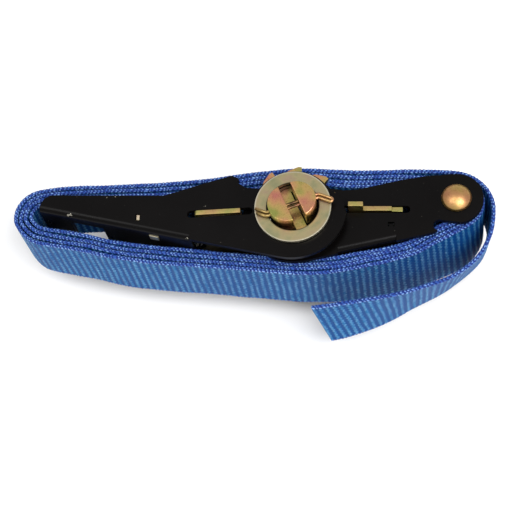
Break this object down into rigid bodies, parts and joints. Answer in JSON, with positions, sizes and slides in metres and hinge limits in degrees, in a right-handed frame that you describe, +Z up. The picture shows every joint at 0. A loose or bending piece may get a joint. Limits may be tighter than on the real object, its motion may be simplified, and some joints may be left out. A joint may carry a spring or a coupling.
{
  "type": "ratchet tie down",
  "caption": "Compact ratchet buckle lying on its side, fully open, with its flat webbing strap wound round it and the free end loose.",
  "frame": {"origin": "middle of the whole object's footprint, at the height of the spindle's lower end", "axes": "+X from the handle's tip towards the strap rivet, along the buckle; +Z up, along the spindle's axis"},
  "size_m": [0.16, 0.0496, 0.0506],
  "materials": {
    "black_paint": "gloss black coating with small scuffs",
    "yellow_zinc": "yellow passivated zinc with a pink and green cast",
    "dull_zinc": "dull khaki zinc, turned",
    "spring_steel": "bright drawn wire",
    "blue_webbing": "woven polyester webbing with cross ribs and dense edges"
  },
  "bodies": {
    "frame": {"frame_channel": "black_paint", "anchor_rivet": "yellow_zinc", "anchor_sleeve": "dull_zinc", "frame_spring_bridge": "black_paint", "frame_pawl_spring": "spring_steel", "strap": "blue_webbing"},
    "handle": {"handle_channel": "black_paint", "handle_spring_bridge": "yellow_zinc", "handle_pawl_spring": "spring_steel"},
    "spindle": {"half_moon_a": "yellow_zinc", "half_moon_b": "yellow_zinc", "ratchet_wheel_upper": "yellow_zinc", "ratchet_wheel_lower": "yellow_zinc", "end_disc_upper": "dull_zinc", "end_disc_lower": "dull_zinc", "cotter_pin_upper": "yellow_zinc", "cotter_pin_lower": "yellow_zinc"},
    "handle_pawl": {"handle_pawl": "yellow_zinc"},
    "frame_pawl": {"frame_pawl": "yellow_zinc"}
  },
  "joints": [
    {"name": "handle_swing", "type": "hinge", "parent": "frame", "child": "handle", "pos_m": [0.01523, 0.0066, 0.0253], "axis": [0, 0, 1], "range_deg": [-140, 0], "deforming": ["strap"]},
    {"name": "spindle_spin", "type": "hinge", "parent": "frame", "child": "spindle", "pos_m": [0.01523, 0.0066, 0.0253], "axis": [0, 0, 1], "continuous": true},
    {"name": "handle_pawl_slide", "type": "slide", "parent": "handle", "child": "handle_pawl", "axis": [-0.9979, -0.0645, 0], "range_m": [0, 0.002], "stiffness_N_per_m": 600, "deforming": ["handle_pawl_spring"]},
    {"name": "frame_pawl_slide", "type": "slide", "parent": "frame", "child": "frame_pawl", "axis": [1, 0, 0], "range_m": [0, 0.002], "stiffness_N_per_m": 600, "deforming": ["frame_pawl_spring"]}
  ]
}
